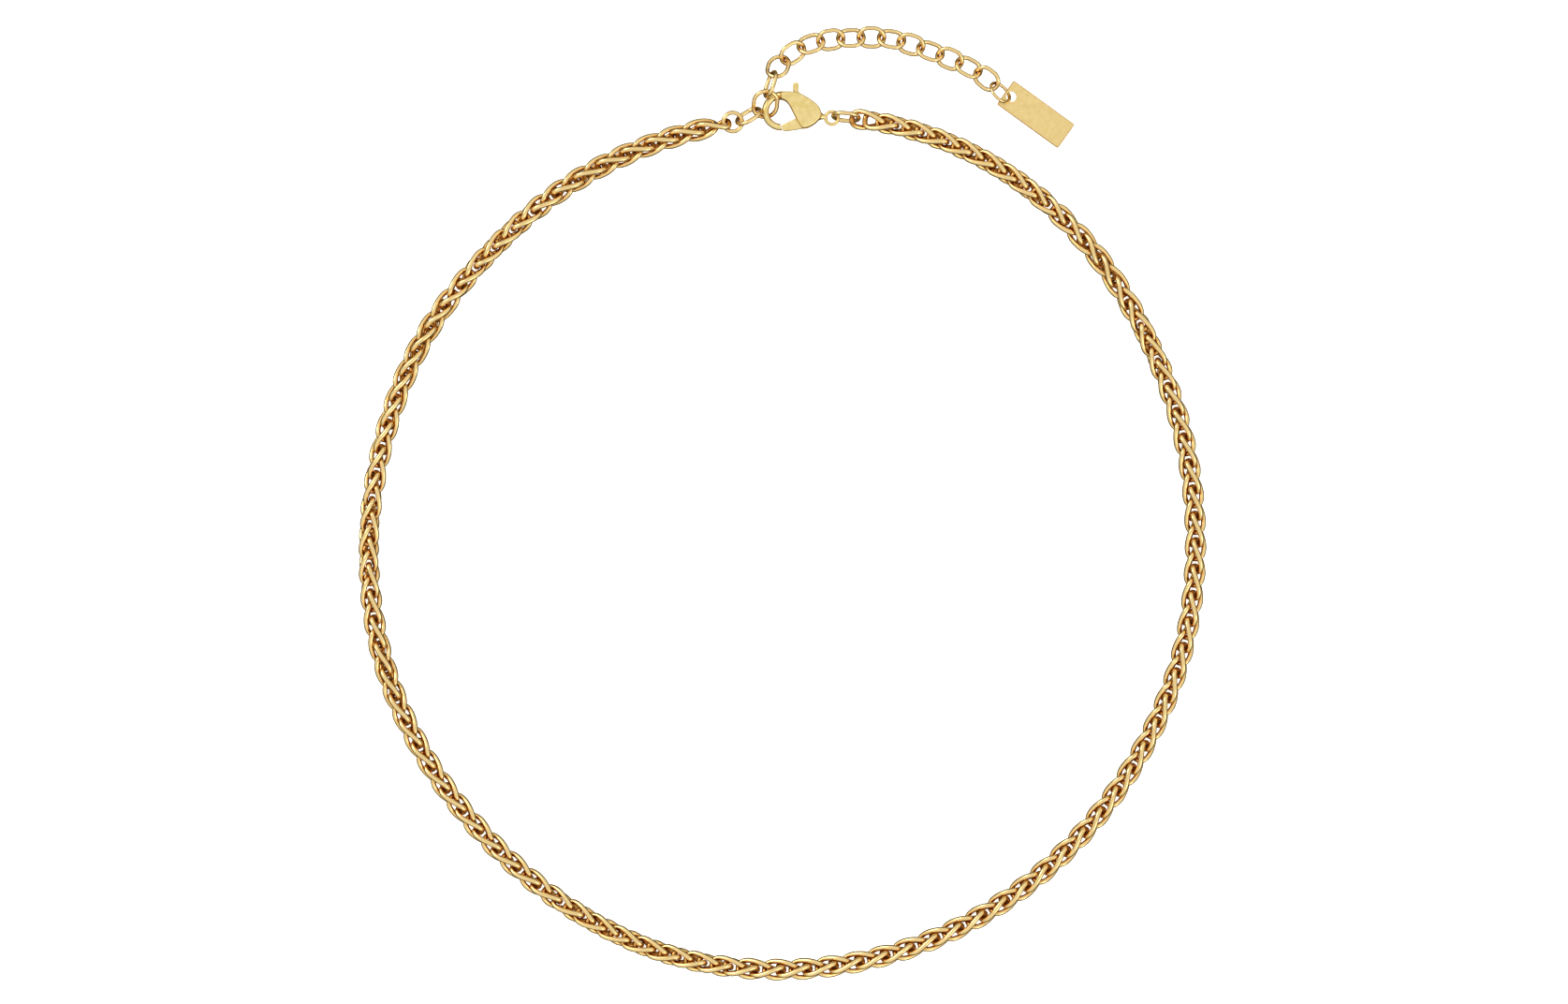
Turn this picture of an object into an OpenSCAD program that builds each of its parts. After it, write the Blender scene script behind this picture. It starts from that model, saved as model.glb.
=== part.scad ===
// Wheat-link necklace with a lobster clasp and an extender chain, lying flat.
// The neck ring lies in the XY plane, +Y points to the clasp and Z = 0 is the surface below it.
// Every piece is solid metal. The long chain is two tubes of the outer size of its links.

/* [Wheat chain] */
// Thickness of the chain, across its links
chain_thickness = 3.84; // [3.6:0.02:4]
// Wire of a chain link
link_wire = 0.9; // [0.84:0.02:0.92]
// Middle line of a chain link, from its centre to its end
link_half_length = 2.77; // [2.75:0.01:2.79]
// Middle line of a chain link, from its centre to its side
link_half_width = 1.46; // [1.42:0.01:1.46]
// Turn of a link's end against its middle, in degrees
link_twist = 46; // [44:1:47]
// How full the link's oval is: 2 is an ellipse, more has straighter sides
link_fullness = 3; // [2.8:0.1:3.1]

/* [Extender] */
// Wire of the extender's links and of the rings
ring_wire = 0.7; // [0.6:0.02:0.7]
// Middle line of an extender link, from its centre to its end
oval_half_length = 2.2; // [2.18:0.01:2.22]
// Middle line of an extender link, from its centre to its side
oval_half_width = 1.8; // [1.76:0.01:1.84]
// Middle line of the ring that the clasp holds, from its centre to its end
catch_half_length = 2.54; // [2.53:0.01:2.56]
// Middle line of that ring, from its centre to its side
catch_half_width = 2; // [1.99:0.01:2.02]
// Middle radius of the ring at the chain's last link
end_ring_r = 1.6; // [1.59:0.01:1.62]

/* [Clasp] */
// Thickness of the clasp's body
body_thickness = 2.8; // [2.6:0.1:3]
// Middle radius of the hook
hook_r = 2.7; // [2.68:0.01:2.72]
// Wire of the hook
hook_wire = 1.2; // [1.1:0.02:1.22]
// Thickness of the lever
lever_thickness = 1.1; // [0.9:0.05:1.1]
// Gap between the lever and each cheek of the body
lever_gap = 0.1; // [0.08:0.01:0.14]
// Radius of the pin that the lever turns on
pin_r = 0.4; // [0.35:0.01:0.45]
// Gap between the pin and the lever's hole
pin_gap = 0.06; // [0.04:0.01:0.08]

/* [Tag] */
// Length of the tag
tag_length = 12.9; // [11:0.1:13]
// Width of the tag
tag_width = 5; // [4:0.1:5.4]
// Thickness of the tag
tag_thickness = 0.5; // [0.4:0.05:0.5]
// Radius of the tag's hole
tag_hole_r = 0.9; // [0.88:0.01:0.92]
// Distance from the tag's end to the middle of its hole
tag_hole_in = 1.27; // [1.2:0.01:1.3]

/* [Hidden] */

$fn = 48;
floor_gap = 0.02;
gold = [0.88, 0.74, 0.42];
satin_gold = [0.85, 0.73, 0.44];

// The chain's route: its radius at every 15 degrees, counted from +X towards +Y.
loop_centre = [0, -7.4];
route_step = 15;
route_r = [70.5, 70.9, 71.7, 73.2, 74.3, 74.3, 73.2, 72.3, 71.7, 70.9, 70.9, 70.6,
    70.8, 71.1, 71.0, 71.1, 71.8, 72.5, 72.4, 72.1, 71.6, 71.0, 70.6, 70.6];
first_link_at = 78.7;
last_link_at = 99.48;
// How far the chain is rolled about its own line at its two ends, in degrees
first_link_roll = 42;
last_link_roll = 266;
// The tube goes clockwise from the first link to the last; its two halves meet in between.
tube_from = 76;
tube_split = -97;
tube_to = -257.8;
tube_step = 7.3;
tube_sides = 12;
link_sides = 16;
link_wire_sides = 6;

// The rings by the clasp: x, y and z of the centre, then heading, pitch and lean in degrees.
catch_ring_place = [-3.02, 68.04, 2.09, 84.5, 35.7, 9];
joining_link_place = [-5.89, 65.99, 1.96, 31, -3.7, 120];
end_ring_place = [-8.61, 65, 1.88, 0, 0, 5];
clasp_link_place = [10.75, 65.85, 2.1, -6, 0, 74];
tag_ring_place = [37.12, 70.05, 1.96, -62.4, 20.4, -51.2];
tag_ring_r = 2;
tag_ring_wire = 0.56;

// The first two links of the extender lie on other pieces, with places like the rings'.
extender_place_01 = [-2.15, 71.36, 3.01, 71.8, -0.6, 108.7];
extender_place_02 = [-0.85, 74.45, 2.07, 74.5, -30.7, -21];
// The links after them lie on the surface: x and y of the centre, then lean in degrees.
extender = [
    [1.65, 76.8, 40],
    [4.76, 78.4, -36],
    [8.15, 79.1, 36],
    [11.6, 79.4, -36],
    [15.1, 79.5, 36],
    [18.55, 79.2, -36],
    [21.85, 78.3, 36],
    [25.2, 77.15, -36],
    [28.5, 75.85, 36],
    [31.75, 74.4, -36],
    [34.8, 72.47, 36]
];

// The clasp has its own frame: origin in the middle of the hook, X towards the eye.
clasp_place = [-0.33, 66.83, 1.59];
hook_from = 60;
hook_to = 280;
pivot = [4.35, -1.35];
// The hook's end is cut on a circle around the pivot, a little clear of the gate's own end.
gate_reach = 4.45;
gate_gap = 0.1;
slot_from_x = 2.3;
slot_to_x = 5.55;
eye_at = [8.7, -1.12];
eye_r = 1.1;
eye_wire = 0.58;
// Bosses that the body is stretched over: x, y, radius and thickness.
bosses = [
    [0.9, 2.75, 0.6, 1.4],
    [2.6, 2.3, 0.95, body_thickness],
    [5.2, -0.35, 1.55, body_thickness],
    [4.15, -2, 0.85, body_thickness],
    [6.7, -0.8, 0.55, 1.5],
    [7.25, -0.92, 0.3, 0.9]
];
boss_edge = 0.35;
mouth_rounds = [[0.05, -0.1], [0.75, -1.2]];
mouth_round_r = 1.75;

tag_hole_at = [39.05, 69.4, 1.06];
tag_heading = -35.5;
tag_tilt = 3.9;
tag_corner_r = 0.25;

function unit(v) = v / norm(v);

// Radius of the route at any angle, smooth through the table.
function table_r(i) = route_r[(i + 2 * len(route_r)) % len(route_r)];
function smooth(p0, p1, p2, p3, f) =
    p1 + 0.5 * f * (p2 - p0 + f * (2 * p0 - 5 * p1 + 4 * p2 - p3 + f * (3 * (p1 - p2) + p3 - p0)));
function route_radius(angle) =
    let (i = floor(angle / route_step), f = angle / route_step - i)
    smooth(table_r(i - 1), table_r(i), table_r(i + 1), table_r(i + 2), f);
function route_point(angle) = loop_centre + route_radius(angle) * [cos(angle), sin(angle)];
function route_heading(angle) =
    let (d = route_point(angle - 0.5) - route_point(angle + 0.5))
    atan2(d[1], d[0]);

// Faces between rings of points. A closed sweep joins its last ring to its first.
function side_faces(rings, sides, closed) = [
    for (i = [0 : closed ? rings - 1 : rings - 2])
    for (j = [0 : sides - 1])
    let (n = (i + 1) % rings, k = (j + 1) % sides)
    [i * sides + j, i * sides + k, n * sides + k, n * sides + j]
];

module place(p) {
    translate([p[0], p[1], p[2]]) rotate([0, 0, p[3]]) rotate([0, -p[4], 0]) rotate([p[5], 0, 0])
        children();
}

module wire_arc(r, wire, from, sweep) {
    rotate_extrude(angle = sweep, start = from) translate([r, 0]) circle(d = wire);
}

// A flat link of two half rings and two straight sides.
module oval_link(half_length, half_width, wire) {
    side = half_length - half_width;
    for (turn = [0, 180]) rotate([0, 0, turn]) {
        translate([side, 0, 0]) wire_arc(half_width, wire, -90, 180);
        translate([-side, half_width, 0]) rotate([0, 90, 0]) cylinder(d = wire, h = 2 * side);
    }
}

module round_ring(r, wire) {
    rotate_extrude() translate([r, 0]) circle(d = wire);
}

// Middle line of a twisted chain link, which lies along X.
function full(v) = sign(v) * pow(abs(v), 2 / link_fullness);
function twisted_point(t) =
    let (along = full(cos(t)), across = link_half_width * full(sin(t)), a = link_twist * along)
    [link_half_length * along, across * cos(a), across * sin(a)];

module twisted_link() {
    points = [
        for (i = [0 : link_sides - 1])
        let (
            t = 360 * (i + 0.5) / link_sides,
            c = twisted_point(t),
            along = unit(twisted_point(t + 3) - twisted_point(t - 3)),
            out = unit(c - (c * along) * along),
            side = cross(along, out)
        )
        for (j = [0 : link_wire_sides - 1])
        let (a = 360 * j / link_wire_sides)
        c + link_wire / 2 * (cos(a) * out + sin(a) * side)
    ];
    polyhedron(points, side_faces(link_sides, link_wire_sides, true));
}

module chain_link_at(angle, roll) {
    p = route_point(angle);
    place([p[0], p[1], chain_thickness / 2, route_heading(angle), 0, roll]) twisted_link();
}

// A stretch of the tube of the chain's outer size, clockwise along the route, with a flat below.
module chain_tube(from, to) {
    flat_turn = 180 / tube_sides;
    tube_r = chain_thickness / 2 / cos(flat_turn);
    rings = round((from - to) / tube_step) + 1;
    points = [
        for (i = [0 : rings - 1])
        let (
            angle = from - (from - to) * i / (rings - 1),
            p = route_point(angle),
            heading = route_heading(angle),
            side = [-sin(heading), cos(heading), 0]
        )
        for (j = [0 : tube_sides - 1])
        let (a = flat_turn + 360 * j / tube_sides)
        [p[0], p[1], chain_thickness / 2] + tube_r * (cos(a) * side + sin(a) * [0, 0, 1])
    ];
    last = (rings - 1) * tube_sides;
    caps = [
        [for (j = [tube_sides - 1 : -1 : 0]) j],
        [for (j = [0 : tube_sides - 1]) last + j]
    ];
    color(gold) polyhedron(points, concat(side_faces(rings, tube_sides, false), caps));
}

module wheat_chain_right() {
    chain_tube(tube_from, tube_split);
}

module wheat_chain_left() {
    chain_tube(tube_split, tube_to);
}

module chain_first_link() {
    color(gold) chain_link_at(first_link_at, first_link_roll);
}

module chain_last_link() {
    color(gold) chain_link_at(last_link_at, last_link_roll);
}

module clasp_link() {
    color(gold) place(clasp_link_place) oval_link(oval_half_length, oval_half_width, ring_wire);
}

module catch_ring() {
    color(gold) place(catch_ring_place)
        oval_link(catch_half_length, catch_half_width, ring_wire);
}

module joining_link() {
    color(gold) place(joining_link_place) oval_link(oval_half_length, oval_half_width, ring_wire);
}

module end_ring() {
    color(gold) place(end_ring_place) round_ring(end_ring_r, ring_wire);
}

module extender_oval(p) {
    color(gold) place(p) oval_link(oval_half_length, oval_half_width, ring_wire);
}

module extender_link(i) {
    after = i + 1 < len(extender) ? extender[i + 1] : tag_ring_place;
    before = i > 0 ? extender[i - 1] : extender_place_02;
    heading = atan2(after[1] - before[1], after[0] - before[0]);
    lean = extender[i][2];
    z = oval_half_width * abs(sin(lean)) + ring_wire / 2 + floor_gap;
    extender_oval([extender[i][0], extender[i][1], z, heading, 0, lean]);
}

module body_boss(b) {
    translate([b[0], b[1], 0]) cylinder(r = b[2], h = b[3] - 2 * boss_edge, center = true, $fn = 32);
    translate([b[0], b[1], 0]) cylinder(r = b[2] - boss_edge / 2, h = b[3], center = true, $fn = 32);
}

// The teardrop body, open on the side of the hook.
module teardrop() {
    difference() {
        hull() for (b = bosses) body_boss(b);
        for (m = mouth_rounds) translate(m) cylinder(r = mouth_round_r, h = 5, center = true);
    }
}

module hook() {
    difference() {
        wire_arc(hook_r, hook_wire, hook_from, hook_to - hook_from);
        intersection() {
            translate(pivot) cylinder(r = gate_reach + gate_gap, h = 5, center = true);
            translate([-5, -5, -5]) cube([10, 5, 10]);
        }
    }
}

module clasp_body() {
    slot = lever_thickness + 2 * lever_gap;
    color(satin_gold) translate(clasp_place) {
        difference() {
            union() {
                teardrop();
                hook();
            }
            translate([slot_from_x, -5, -slot / 2]) cube([slot_to_x - slot_from_x, 10, slot]);
            translate(pivot) cylinder(r = pin_r, h = 5, center = true);
        }
        translate(eye_at) round_ring(eye_r, eye_wire);
    }
}

module clasp_pin() {
    color(satin_gold) translate(clasp_place) translate(pivot)
        cylinder(r = pin_r, h = body_thickness, center = true);
}

// The lever: the gate on the left, the arm up through the slot and the thumb nub above it.
module clasp_lever() {
    gate_end = [for (a = [193.5, 200, 207]) pivot + gate_reach * [cos(a), sin(a)]];
    arm_and_nub = [
        [2.2, -3.2], [3.45, -3], [4.85, -2.2], [5.2, -1.3], [4.9, -0.3], [3.55, 2.2], [3, 3.4],
        [3.03, 4.6], [2.8, 4.9], [2.25, 4.9], [2, 4.65], [2, 3.55], [2.35, 3.45], [2.4, 2.2],
        [3.5, -0.9], [2.3, -1.3]
    ];
    color(satin_gold) translate(clasp_place) difference() {
        translate([0, 0, -lever_thickness / 2]) linear_extrude(lever_thickness)
            polygon(concat(gate_end, arm_and_nub));
        translate(pivot) cylinder(r = pin_r + pin_gap, h = 5, center = true);
    }
}

module tag_ring() {
    color(gold) place(tag_ring_place) round_ring(tag_ring_r, tag_ring_wire);
}

// The tag's frame: origin in its hole, X along the tag.
module tag() {
    inner_l = tag_length - 2 * tag_corner_r;
    inner_w = tag_width - 2 * tag_corner_r;
    color(satin_gold) translate(tag_hole_at) rotate([0, 0, tag_heading]) rotate([0, tag_tilt, 0])
        difference() {
            translate([tag_length / 2 - tag_hole_in, 0, 0]) {
                cube([tag_length, inner_w, tag_thickness], center = true);
                cube([inner_l, tag_width, tag_thickness], center = true);
                for (x = [-1, 1]) for (y = [-1, 1])
                    translate([x * inner_l / 2, y * inner_w / 2, 0])
                        cylinder(r = tag_corner_r, h = tag_thickness, center = true);
            }
            cylinder(r = tag_hole_r, h = 5, center = true);
        }
}

wheat_chain_right();
wheat_chain_left();
chain_first_link();
chain_last_link();
clasp_link();
clasp_body();
clasp_lever();
clasp_pin();
catch_ring();
joining_link();
end_ring();
extender_oval(extender_place_01);  // extender_link_01
extender_oval(extender_place_02);  // extender_link_02
extender_link(0);  // extender_link_03
extender_link(1);  // extender_link_04
extender_link(2);  // extender_link_05
extender_link(3);  // extender_link_06
extender_link(4);  // extender_link_07
extender_link(5);  // extender_link_08
extender_link(6);  // extender_link_09
extender_link(7);  // extender_link_10
extender_link(8);  // extender_link_11
extender_link(9);  // extender_link_12
extender_link(10);  // extender_link_13
tag_ring();
tag();
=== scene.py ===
# %% [markdown]
# # A wheat chain necklace, lying flat
# This lesson dresses a packed necklace: a thick wheat chain, a lobster clasp, a short extender
# chain and a bare tag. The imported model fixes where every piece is. Here each piece gets the
# form and the finish of the real one. Lengths are in metres, as in the frame.

# %% Load the fixed frame
import math

import bpy
import bmesh
import numpy as np
from mathutils import Matrix, Vector
from mathutils.bvhtree import BVHTree


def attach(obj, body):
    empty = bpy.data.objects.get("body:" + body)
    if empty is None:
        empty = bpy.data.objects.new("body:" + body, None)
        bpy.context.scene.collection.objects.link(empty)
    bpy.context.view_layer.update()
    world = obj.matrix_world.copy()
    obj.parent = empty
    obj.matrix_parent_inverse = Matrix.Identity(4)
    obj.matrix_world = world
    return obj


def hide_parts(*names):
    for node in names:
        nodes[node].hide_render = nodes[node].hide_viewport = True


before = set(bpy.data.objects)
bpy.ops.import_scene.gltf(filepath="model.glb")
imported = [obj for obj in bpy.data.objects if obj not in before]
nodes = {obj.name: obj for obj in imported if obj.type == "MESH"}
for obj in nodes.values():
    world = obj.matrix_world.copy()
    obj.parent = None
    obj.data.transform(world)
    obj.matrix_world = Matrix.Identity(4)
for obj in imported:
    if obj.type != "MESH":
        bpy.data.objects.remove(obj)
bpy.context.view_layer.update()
mm = 0.001
print("nodes in the frame:", len(nodes))

# %% [markdown]
# ## The camera
# The photo looks straight down, and shows almost no perspective. A long lens far above the
# table does the same. The image is 1675 pixels wide and the clasp gives 0.16 mm for a pixel, so
# the view is 268 mm wide at the height of the chain. A lens of 100 mm on a 36 mm sensor sees
# that width from 744 mm away.

# %% Place the camera above the necklace
image_size = (1675, 1072)
pixel = 0.16 * mm
origin_pixel = (836.5, 536.5)
chain_height = 1.9 * mm
lens_length = 100
sensor_width = 36


def add_object(name, data):
    """An object in the scene for a mesh, a lamp or a camera."""
    thing = bpy.data.objects.new(name, data)
    bpy.context.collection.objects.link(thing)
    return thing


def place_of_pixel(px, py):
    """The place on the table that a pixel of the photo shows."""
    return Vector(((px - origin_pixel[0]) * pixel, (origin_pixel[1] - py) * pixel, 0))


def add_camera():
    lens = bpy.data.cameras.new("studio_camera")
    lens.lens = lens_length
    lens.sensor_width = sensor_width
    camera = add_object("studio_camera", lens)
    middle = place_of_pixel(image_size[0] / 2, image_size[1] / 2)
    distance = image_size[0] * pixel * lens_length / sensor_width
    camera.location = middle + Vector((0, 0, chain_height + distance))
    bpy.context.scene.camera = camera
    print("camera height in mm:", round(camera.location.z / mm))


add_camera()

# %% [markdown]
# ## The white sheet
# The necklace lies on a white sheet that is so well lit that it prints as plain white. The walls
# around it are dark and would leave it grey, so it glows a little, as a light table does. The
# glow is slightly warm: this is painted light, the warm light that gold wires throw on white
# paper between them, given to the whole sheet.
# The sheet is kept out of the metal's reflections, or the flanks of the wires would melt into
# the white. They show the dark floor of the studio instead, which draws their edges.
# A white backdrop stands far behind the sheet on every side, for the views from low down. It
# only fills the picture behind the necklace: it neither lights the metal nor shades it.

# %% Lay the white sheet and put up the backdrop
sheet_half = 3
backdrop_height = 2
paper_roughness = 0.9
ground = [(-1, -1), (1, -1), (1, 1), (-1, 1)]
ground_corners = [(x * sheet_half, y * sheet_half, 0) for x, y in ground]


def white_paper(name, base, glow, strength):
    paper = bpy.data.materials.new(name)
    paper.use_nodes = True
    shader = paper.node_tree.nodes["Principled BSDF"]
    shader.inputs["Base Color"].default_value = (base, base, base, 1)
    shader.inputs["Roughness"].default_value = paper_roughness
    shader.inputs["Emission Color"].default_value = (*glow, 1)
    shader.inputs["Emission Strength"].default_value = strength
    paper.cycles.emission_sampling = "NONE"
    return paper


def add_stage_piece(name, corners, faces, paper):
    mesh = bpy.data.meshes.new(name)
    mesh.from_pydata(corners, [], faces)
    mesh.materials.append(paper)
    piece = add_object(name, mesh)
    piece.visible_glossy = False
    return piece


# The warm colour of the sheet's glow is painted light bounced from the gold.
sheet_paper = white_paper("white_paper", base=0.93, glow=(1, 0.95, 0.84), strength=0.92)
table = add_stage_piece("white_sheet", ground_corners, [(0, 1, 2, 3)], sheet_paper)
backdrop_corners = ground_corners + [(x, y, backdrop_height) for x, y, _ in ground_corners]
backdrop_faces = [(i, (i + 1) % 4, (i + 1) % 4 + 4, i + 4) for i in range(4)]
backdrop_paper = white_paper("backdrop_paper", base=0, glow=(1, 1, 1), strength=1)
backdrop = add_stage_piece("white_backdrop", backdrop_corners, backdrop_faces, backdrop_paper)
backdrop.visible_diffuse = False
backdrop.visible_shadow = False
print("stage:", table.name, backdrop.name)

# %% [markdown]
# ## The studio light
# Metal has no look of its own: it shows what is around it. The top of every wire faces the
# bright ceiling, and its flanks face the walls. So the world is bright above and dark near the
# horizon, and each wire gets a pale middle between two darker lines, as in the photo. One could
# load a picture of a studio, but a ramp of colours by height does it without one.

# %% Paint the world by height
floor_grey = (0.13, 0.115, 0.09)
wall_grey = (0.42, 0.4, 0.37)
ceiling_grey = (0.84, 0.84, 0.84)
ceiling_white = (0.96, 0.96, 0.96)
world_bands = [
    # height, from 0 at the horizon and below it to 1 straight up, and colour
    (0.0, floor_grey),
    (0.1, wall_grey),
    (0.3, ceiling_grey),
    (0.7, ceiling_white),
    (1.0, ceiling_grey),
]


def add_world():
    world = bpy.data.worlds.new("studio")
    bpy.context.scene.world = world
    world.use_nodes = True
    tree = world.node_tree
    coords = tree.nodes.new("ShaderNodeTexCoord")
    split = tree.nodes.new("ShaderNodeSeparateXYZ")
    ramp = tree.nodes.new("ShaderNodeValToRGB")
    tree.links.new(coords.outputs["Generated"], split.inputs[0])
    tree.links.new(split.outputs["Z"], ramp.inputs[0])
    tree.links.new(ramp.outputs[0], tree.nodes["Background"].inputs["Color"])
    steps = ramp.color_ramp.elements
    steps.remove(steps[1])
    for i, (height, colour) in enumerate(world_bands):
        step = steps[0] if i == 0 else steps.new(height)
        step.position = height
        step.color = (*colour, 1)
    print("bands of the world:", len(steps))


add_world()

# %% [markdown]
# Two soft lamps stand at opposite corners, the stronger one where the photo has its window. A
# third, large one hangs above the sheet and only whitens it. Light linking keeps it off the
# metal, as a photographer does with a shade.

# %% Hang the lamps
def add_lamp(name, place, size, power):
    """A square lamp that looks at the middle of the necklace."""
    data = bpy.data.lights.new(name, "AREA")
    data.shape = "SQUARE"
    data.size = size
    data.energy = power
    lamp = add_object(name, data)
    lamp.location = place
    lamp.rotation_euler = (-Vector(place)).to_track_quat("-Z", "Y").to_euler()
    return lamp


add_lamp("window_lamp", place=(-0.75, 0.55, 0.62), size=0.45, power=2.6)
add_lamp("fill_lamp", place=(0.7, -0.6, 0.62), size=0.45, power=1.2)
sheet_lamp = add_lamp("sheet_lamp", place=(0, 0, 1.2), size=1.2, power=5)
lit_sheet = bpy.data.collections.new("lit_sheet")
lit_sheet.objects.link(table)
sheet_lamp.light_linking.receiver_collection = lit_sheet
bpy.context.scene.view_settings.view_transform = "Standard"
print("lamps:", len(bpy.data.lights), " view:", bpy.context.scene.view_settings.view_transform)

# %% [markdown]
# ## The two gold finishes
# All pieces are light yellow gold. The wires are polished: smooth, with fine drawing lines
# and tiny dents from handling. The clasp and the tag are satin: cast or rolled, then brushed,
# so they spread the light more. In a hollow, where light bounces from gold to gold, the colour
# is painted browner: this is painted shade, the dark that falls deep between the links. A number
# on every point of a mesh, called hollow, says how closed in that point is: it is 0 in the open
# and 1 deep between the links, and it sets how much painted shade a point gets.
# An image could be wrapped around the pieces, but noise in their own space needs none, and its
# clouds, dents and lines have the same size on each of them.

# %% Mix the gold
pale_gold = (0.95, 0.705, 0.31)
worn_gold = (0.92, 0.68, 0.3)
# warm_gold and brown_gold are painted shade: the colours that the hollows are darkened to.
warm_gold = (0.92, 0.56, 0.17)
brown_gold = (0.45, 0.14, 0.008)
warm_hollow = (0.1, 0.5)
brown_hollow = (0.35, 0.95)


def add_noise(tree, scale, detail, stretch=(1, 1, 1), turn=0):
    """Noise in object space, with its scale counted in waves for a metre."""
    coords = tree.nodes.new("ShaderNodeTexCoord")
    mapping = tree.nodes.new("ShaderNodeMapping")
    mapping.inputs["Scale"].default_value = stretch
    mapping.inputs["Rotation"].default_value = (0, 0, turn)
    noise = tree.nodes.new("ShaderNodeTexNoise")
    noise.inputs["Scale"].default_value = scale
    noise.inputs["Detail"].default_value = detail
    tree.links.new(coords.outputs["Object"], mapping.inputs[0])
    tree.links.new(mapping.outputs[0], noise.inputs["Vector"])
    return noise.outputs[0]


def spread(tree, source, low, high, start=0.3, end=0.7):
    """Maps start to end of a value onto low to high."""
    node = tree.nodes.new("ShaderNodeMapRange")
    node.inputs["From Min"].default_value = start
    node.inputs["From Max"].default_value = end
    node.inputs["To Min"].default_value = low
    node.inputs["To Max"].default_value = high
    tree.links.new(source, node.inputs["Value"])
    return node.outputs["Result"]


def mix_colours(tree, source, first, second):
    """A colour between two, where source is 0 to 1. Each of the two is a colour or a link."""
    mix = tree.nodes.new("ShaderNodeMix")
    mix.data_type = "RGBA"
    tree.links.new(source, mix.inputs["Factor"])
    for socket, colour in ((mix.inputs[6], first), (mix.inputs[7], second)):
        if isinstance(colour, tuple):
            socket.default_value = (*colour, 1)
        else:
            tree.links.new(colour, socket)
    return mix.outputs[2]


def paint_gold(tree, cloud_scale, light, dark):
    """Gold that varies from light to dark in soft clouds and turns brown in the hollows, as painted
    shade.
    """
    clouds = spread(tree, add_noise(tree, cloud_scale, 3), 0, 1)
    hollow = tree.nodes.new("ShaderNodeAttribute")
    hollow.attribute_name = "hollow"
    closed_in = hollow.outputs["Fac"]
    deep = spread(tree, closed_in, 0, 1, *brown_hollow)
    colour = mix_colours(tree, clouds, light, dark)
    warm = mix_colours(tree, spread(tree, closed_in, 0, 1, *warm_hollow), colour, warm_gold)
    brown = mix_colours(tree, deep, warm, brown_gold)
    tree.links.new(brown, tree.nodes["Principled BSDF"].inputs["Base Color"])


print("golds, from open to hollow:", pale_gold, warm_gold, brown_gold)

# %% [markdown]
# ### The polished wire
# Its dents are wide and shallow, 0.4 mm apart and a few thousandths of a millimetre deep. Its
# grain is finer than the photo can show, but it keeps the highlights from looking like glass.
# One noise could do both, but dents and grain have different depths, so two bumps are chained.

# %% Polish the wire
wire_roughness = (0.16, 0.26)
wire_clouds = 500
dents_per_metre = 2500
dent_depth = 0.006 * mm
grains_per_metre = 9000
grain_depth = 0.001 * mm


def new_gold(name, roughness):
    material = bpy.data.materials.new(name)
    material.use_nodes = True
    shader = material.node_tree.nodes["Principled BSDF"]
    shader.inputs["Metallic"].default_value = 1
    shader.inputs["Roughness"].default_value = roughness
    return material


def add_bump(tree, source, height, previous=None):
    bump = tree.nodes.new("ShaderNodeBump")
    bump.inputs["Distance"].default_value = height
    bump.inputs["Strength"].default_value = 1
    tree.links.new(source, bump.inputs["Height"])
    if previous:
        tree.links.new(previous, bump.inputs["Normal"])
    return bump.outputs["Normal"]


def polished_gold():
    gold = new_gold("polished_gold", 0.22)
    tree = gold.node_tree
    shader = tree.nodes["Principled BSDF"]
    paint_gold(tree, wire_clouds, pale_gold, worn_gold)
    dents = add_noise(tree, dents_per_metre, 2)
    grain = add_noise(tree, grains_per_metre, 1)
    tree.links.new(spread(tree, dents, *wire_roughness), shader.inputs["Roughness"])
    waves = add_bump(tree, dents, dent_depth)
    tree.links.new(add_bump(tree, grain, grain_depth, waves), shader.inputs["Normal"])
    return gold


chain_gold = polished_gold()
print("finish:", chain_gold.name)

# %% [markdown]
# ### The satin plate and casting
# The tag was brushed along its length and the clasp was tumbled. Both have fine lines that
# are much longer than wide: the noise is squeezed across them, and they are one or two
# hundredths of a millimetre deep. Brushed metal looks cloudy, so its colour varies more than
# the wire's. The casting is a little greener than the wire, and the tag a little darker.

# %% Brush the satin pieces
satin_roughness = (0.28, 0.44)
satin_clouds = 1100
lines_per_metre = 1400
pits_per_metre = 4200
pit_depth = 0.004 * mm


def satin_gold(name, light, dark, turn, stretch, line_depth):
    gold = new_gold(name, 0.34)
    tree = gold.node_tree
    shader = tree.nodes["Principled BSDF"]
    paint_gold(tree, satin_clouds, light, dark)
    lines = add_noise(tree, lines_per_metre, 4, stretch, turn)
    pits = add_noise(tree, pits_per_metre, 2)
    tree.links.new(spread(tree, lines, *satin_roughness), shader.inputs["Roughness"])
    brushed = add_bump(tree, lines, line_depth)
    tree.links.new(add_bump(tree, pits, pit_depth, brushed), shader.inputs["Normal"])
    return gold


tag_turn = math.radians(35.5)
cast_gold = satin_gold(
    "cast_gold",
    light=(1.0, 0.81, 0.37),
    dark=(0.86, 0.655, 0.235),
    turn=math.radians(-50),
    stretch=(0.7, 3, 1),
    line_depth=0.02 * mm,
)
brushed_gold = satin_gold(
    "brushed_gold",
    light=(0.97, 0.74, 0.335),
    dark=(0.87, 0.65, 0.25),
    turn=tag_turn,
    stretch=(0.12, 4, 1),
    line_depth=0.012 * mm,
)
print("finishes:", cast_gold.name, brushed_gold.name)

# %% [markdown]
# ## The wheat chain
# A wheat chain is made of oval links. Each link is twisted, passes through the next two, and
# stands a quarter turn against its neighbour, whose twist has the other hand. The four sides of
# the chain then look like ears of wheat. One could array a link along a curve with a
# modifier, but here every link is written out by a formula: the oval is a little fuller than an
# ellipse, and its ends turn against its middle.

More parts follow.
